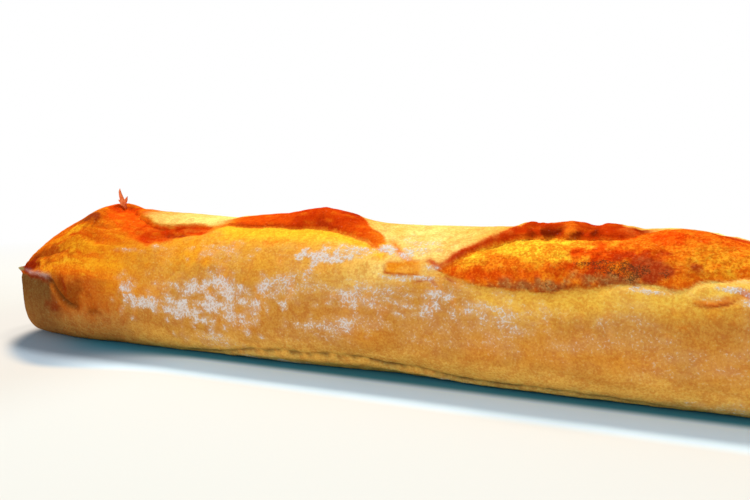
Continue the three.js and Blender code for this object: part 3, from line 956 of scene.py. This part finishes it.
def crust_material():
    n = Nodes("crust")
    place = n.add("ShaderNodeTexCoord").outputs["Object"]
    coarse = n.noise(place, COARSE_SCALE, 3, 0.6)
    fine = n.noise(place, FINE_SCALE, 3, 0.6)
    torn_here = n.value("torn")
    colour = specked(n, place, mottled(n, torn_here, coarse, fine), coarse)
    colour, flour_mask = floured(n, place, colour, fine)
    n.link(colour, "Base Color")
    rough = n.add("ShaderNodeMapRange", {"Value": flour_mask, "To Min": 0.5, "To Max": 0.9}).outputs["Result"]
    n.link(rough, "Roughness")
    n.shader.inputs["Specular IOR Level"].default_value = 0.0
    pits = n.add("ShaderNodeTexVoronoi", {"Vector": place, "Scale": PIT_SCALE}).outputs["Distance"]
    height = n.math("ADD", n.math("MULTIPLY", fine, 0.6), n.math("MULTIPLY", coarse, 0.9))
    height = n.math("ADD", height, n.math("MULTIPLY", n.math("MULTIPLY", pits, torn_here), -0.9))
    height = n.math("ADD", height, n.math("MULTIPLY", flour_mask, 0.3))
    bump = n.add("ShaderNodeBump", {"Strength": 0.6, "Distance": BUMP_DEPTH, "Height": height})
    n.link(bump.outputs["Normal"], "Normal")
    return n.material


loaf.data.materials.append(crust_material())
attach(loaf, "root")
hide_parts("baguette")


# ---------------------------------------------------------------- the table
TABLE_SIZE = 6
SHADE_FROM_END = 0.0725
HIGH_END_X = -LENGTH / 2 * MM
WHITE = (1, 1, 1, 1)
BLACK = (0, 0, 0, 1)
# Colours of the table, out in the light and by the high end, where it is painted darker and warmer as shade
# against the key lamp.
LIT = (0.685, 0.675, 0.635, 1)
PAINTED_DIM_BY_END = (0.64, 0.605, 0.555, 1)
# Painted shade on the table in front of the loaf, darker by the high end.
PAINTED_SHADE = (0.80, 0.95, 1.0, 1)
PAINTED_SHADE_BY_END = (0.30, 0.37, 0.44, 1)
# A painted dark blue-green contact shadow along the loaf's foot.
PAINTED_CONTACT_SHADOW = (0.055, 0.26, 0.38, 1)
# A painted blue glow of bounce light in the painted shade.
PAINTED_BLUE_BOUNCE = (0.0, 0.035, 0.085, 1)
# Colour of the glow: a painted warm patch of light past each end, fading into the bright backdrop.
WARM_GLOW = (0.95, 0.89, 0.81, 1)


def table_distances(n, x, y):
    """Metres from a line under the loaf that stops short of both ends, and metres beyond its ends."""
    beyond_end = n.math("SUBTRACT", n.math("ABSOLUTE", x), LENGTH / 2 * MM - SHADE_FROM_END)
    beyond_end = n.math("MAXIMUM", beyond_end, 0.0)
    squares = n.math("ADD", n.math("POWER", beyond_end, 2.0), n.math("POWER", y, 2.0))
    return n.math("SQRT", squares), beyond_end


def table_paint(n, x, y, distance):
    """The table's colour in the light, with painted shade by the loaf, a painted contact shadow close to it,
    and a painted blue bounce glow in that shade.
    """
    at_high_end = n.ramp(x, HIGH_END_X + 0.1175, HIGH_END_X + 0.0575)
    near_end = n.math("MULTIPLY", at_high_end, n.ramp(y, 0.0, -0.02))
    # Painted contact shadow close to the loaf, wider by the high end.
    painted_contact_shadow = n.ramp(distance, n.math("MULTIPLY_ADD", near_end, 0.018, 0.032), 0.025)
    nearer = n.math("MULTIPLY_ADD", near_end, -0.013, distance)
    # Painted shade on the table in front of the loaf.
    shade = n.math("MULTIPLY", n.ramp(nearer, 0.053, 0.045), n.ramp(y, 0.03, 0.0))
    # Painted shade: the table by the high end is darker and warmer, against the key lamp's light there.
    painted_dim_end = n.math("MULTIPLY", at_high_end, n.ramp(y, 0.16, -0.02))
    painted_dim_end = n.math("MULTIPLY", painted_dim_end, n.ramp(distance, 0.45, 0.15))
    lit = n.blend(painted_dim_end, LIT, PAINTED_DIM_BY_END)
    colour = n.blend(shade, lit, n.blend(near_end, PAINTED_SHADE, PAINTED_SHADE_BY_END))
    n.link(n.blend(painted_contact_shadow, colour, PAINTED_CONTACT_SHADOW), "Base Color")
    # Painted blue bounce light, glowing from the table inside the painted shade.
    painted_bounce = n.math("MULTIPLY", n.math("SUBTRACT", shade, painted_contact_shadow), n.math("SUBTRACT", 1.0, near_end))
    n.link(n.blend(painted_bounce, BLACK, PAINTED_BLUE_BOUNCE), "Emission Color")


def table_glow(n, distance, beyond_end):
    """The bright backdrop far away, and a soft painted patch of light past each end."""
    far = n.add("ShaderNodeMapRange", {"Value": distance, "From Min": 0.12, "From Max": 0.5})
    far = far.outputs["Result"]
    # A painted patch of light on the table past each end.
    painted_end_light = n.math("MULTIPLY", n.ramp(distance, 0.056, 0.067), n.ramp(distance, 0.15, 0.075))
    painted_end_light = n.math("MULTIPLY", painted_end_light, n.ramp(beyond_end, 0.0, 0.045))
    glow_here = n.math("MAXIMUM", far, n.math("MULTIPLY", painted_end_light, 0.85))
    glow = n.add("ShaderNodeEmission", {"Color": n.blend(far, WARM_GLOW, WHITE), "Strength": 1.0})
    mix = n.add("ShaderNodeMixShader", {0: glow_here, 1: n.shader.outputs[0], 2: glow.outputs[0]})
    n.tree.links.new(mix.outputs[0], n.tree.nodes["Material Output"].inputs["Surface"])


def table_material():
    """White near the loaf, fading to a bright backdrop; a painted blue-green shade and a painted contact shadow
    by the loaf, a painted blue bounce glow, and painted light past each end.
    """
    n = Nodes("table")
    place = n.add("ShaderNodeSeparateXYZ", {0: n.add("ShaderNodeTexCoord").outputs["Object"]})
    x, y = place.outputs["X"], place.outputs["Y"]
    distance, beyond_end = table_distances(n, x, y)
    table_paint(n, x, y, distance)
    table_glow(n, distance, beyond_end)
    n.shader.inputs["Emission Strength"].default_value = 1.0
    n.shader.inputs["Roughness"].default_value = 0.8
    n.shader.inputs["Specular IOR Level"].default_value = 0.1
    return n.material


def table():
    bpy.ops.mesh.primitive_plane_add(size=TABLE_SIZE, location=(0, 0, 0))
    floor = bpy.context.object
    floor.name = "table"
    floor.data.materials.append(table_material())


table()


# ---------------------------------------------------------------- light and camera
WARM = (1.0, 0.95, 0.88)
COOL = (0.74, 0.89, 1.0, 1)
ROOM_STRENGTH = 0.5
# Lamps: (name, place, what it points at, size in metres, watts).
LAMPS = [("key", (-0.32, 0.54, 1.18), (-0.05, 0, 0.03), 0.28, 18.5),
         ("front", (-0.5, -1.25, 0.45), (-0.1, 0, 0.03), 0.8, 9.5)]
CAMERA_PLACE = (-0.0052, -0.2536, 0.0722)
CAMERA_DOWN = 6.2
CAMERA_TURN = 23.72
LENS = 35
SENSOR = 36
CLIP_START = 0.01


def aim(thing, target):
    direction = Vector(target) - thing.location
    thing.rotation_euler = direction.to_track_quat("-Z", "Y").to_euler()


def area_light(name, place, target, size, watts, colour):
    data = bpy.data.lights.new(name, "AREA")
    data.energy = watts
    data.size = size
    data.color = colour
    lamp = bpy.data.objects.new(name, data)
    bpy.context.scene.collection.objects.link(lamp)
    lamp.location = place
    aim(lamp, target)


def room():
    """A cool, dim fill from all round; the camera itself sees white."""
    world = bpy.data.worlds.new("room")
    world.use_nodes = True
    tree = world.node_tree
    fill = tree.nodes["Background"]
    fill.inputs["Color"].default_value = COOL
    fill.inputs["Strength"].default_value = ROOM_STRENGTH
    backdrop = tree.nodes.new("ShaderNodeBackground")
    backdrop.inputs["Color"].default_value = WHITE
    path = tree.nodes.new("ShaderNodeLightPath")
    mix = tree.nodes.new("ShaderNodeMixShader")
    tree.links.new(path.outputs["Is Camera Ray"], mix.inputs[0])
    tree.links.new(fill.outputs[0], mix.inputs[1])
    tree.links.new(backdrop.outputs[0], mix.inputs[2])
    tree.links.new(mix.outputs[0], tree.nodes["World Output"].inputs["Surface"])
    bpy.context.scene.world = world


def photo_camera():
    data = bpy.data.cameras.new("camera")
    data.lens = LENS
    data.sensor_width = SENSOR
    data.clip_start = CLIP_START
    camera = bpy.data.objects.new("camera", data)
    camera.location = CAMERA_PLACE
    camera.rotation_euler = (math.radians(90 - CAMERA_DOWN), 0, math.radians(CAMERA_TURN))
    bpy.context.scene.collection.objects.link(camera)
    bpy.context.scene.camera = camera


room()
for lamp_values in LAMPS:
    area_light(*lamp_values, WARM)
photo_camera()
bpy.context.scene.view_settings.view_transform = "Standard"
